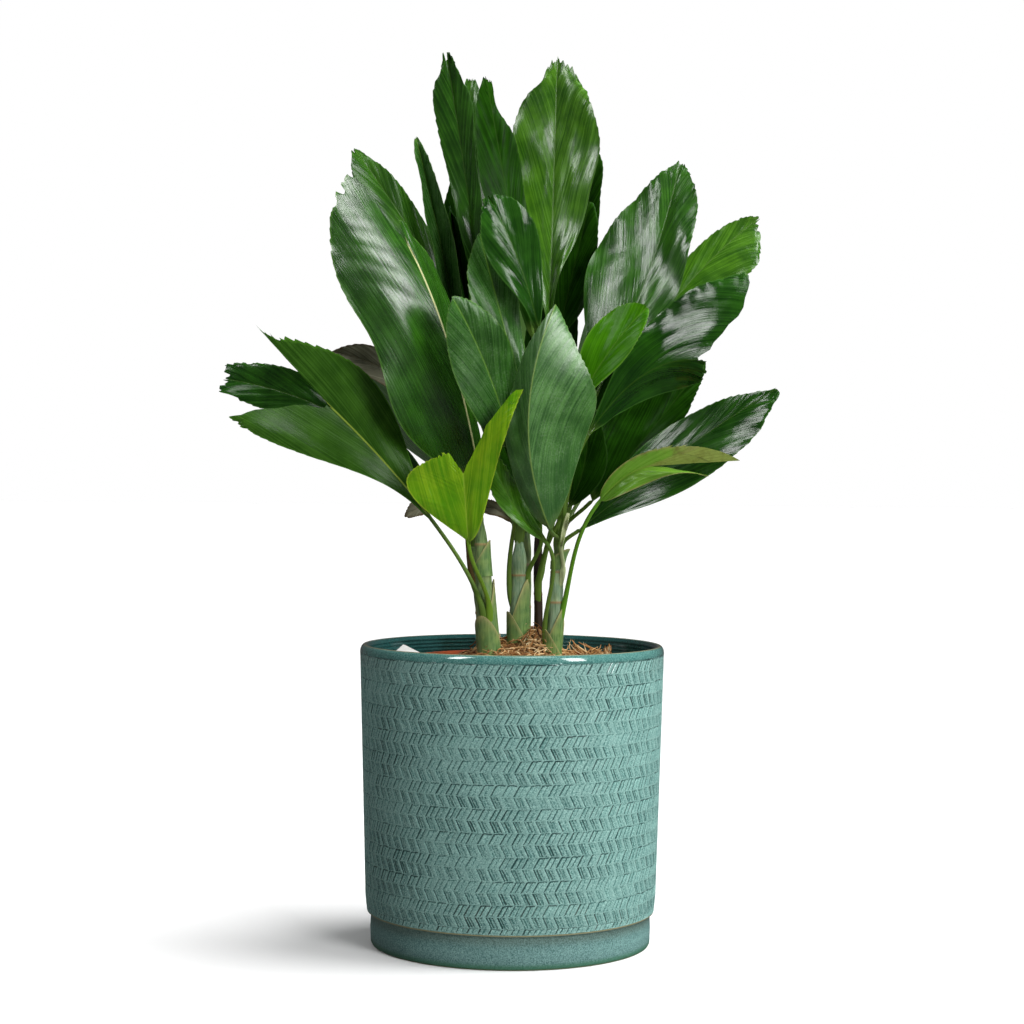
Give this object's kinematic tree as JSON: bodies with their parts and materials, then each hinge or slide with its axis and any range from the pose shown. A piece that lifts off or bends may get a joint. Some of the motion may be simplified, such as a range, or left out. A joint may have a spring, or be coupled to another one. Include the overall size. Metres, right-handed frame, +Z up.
{
  "type": "potted palm",
  "caption": "Potted palm: ringed canes with long-stalked, pleated, fishtail-tipped leaves, in a plastic grower's pot of soil inside a cylindrical glazed planter.",
  "frame": {"origin": "centre of the planter's flat underside, where it stands", "axes": "+Z up along the planter's axis; the plant's best side faces -Y, with +X to its right as seen from the front"},
  "size_m": [0.4295, 0.2986, 0.7083],
  "materials": {
    "glaze": "gloss",
    "terracotta_plastic": "satin",
    "soil": "matte",
    "coir": "matte",
    "label": "satin",
    "cane": "satin",
    "dark_cane": "satin",
    "leaf": "satin",
    "deep_leaf": "satin",
    "powdery_leaf": "satin",
    "bright_leaf": "satin",
    "young_leaf": "satin",
    "withered_leaf": "matte"
  },
  "bodies": {
    "root": {"planter": "glaze", "nursery_pot": "terracotta_plastic", "soil": "soil", "root_mat": "coir", "plant_label": "label", "cane_left": "cane", "cane_middle": "cane", "cane_right": "cane", "cane_dark": "dark_cane", "cane_green": "cane", "cane_rear_left": "cane", "cane_rear_right": "cane", "leaf_big_left": "leaf", "leaf_upper_left": "bright_leaf", "leaf_pale_left": "powdery_leaf", "leaf_slim_left": "deep_leaf", "leaf_arching_left": "leaf", "leaf_shaded_left": "leaf", "leaf_rolled_left": "withered_leaf", "leaf_young_left": "young_leaf", "leaf_withered_left": "withered_leaf", "leaf_tall_left": "powdery_leaf", "leaf_tall_left_rear": "powdery_leaf", "leaf_tall_middle": "deep_leaf", "leaf_tall_right": "bright_leaf", "leaf_olive_right": "deep_leaf", "leaf_dark_right": "deep_leaf", "leaf_centre_upper": "leaf", "leaf_centre_dark": "deep_leaf", "leaf_powder_left": "powdery_leaf", "leaf_front_centre": "powdery_leaf", "leaf_inner_left": "deep_leaf", "leaf_inner_centre": "deep_leaf", "leaf_bright_right": "bright_leaf", "leaf_broad_right": "leaf", "leaf_upper_right": "leaf", "leaf_glossy_right": "powdery_leaf", "leaf_inner_right": "deep_leaf", "leaf_striped_right": "deep_leaf", "leaf_lower_right": "leaf", "leaf_young_right": "young_leaf", "leaf_narrow_front": "leaf", "leaf_pale_rib": "deep_leaf", "leaf_behind_front": "deep_leaf", "leaf_spear": "young_leaf", "leaf_withered_rear": "withered_leaf", "leaf_rear_low_left": "leaf", "leaf_rear_left": "leaf", "leaf_rear_centre": "bright_leaf", "leaf_rear_right": "leaf", "leaf_rear_low_right": "leaf", "leaf_rear_low": "bright_leaf"}
  },
  "joints": []
}
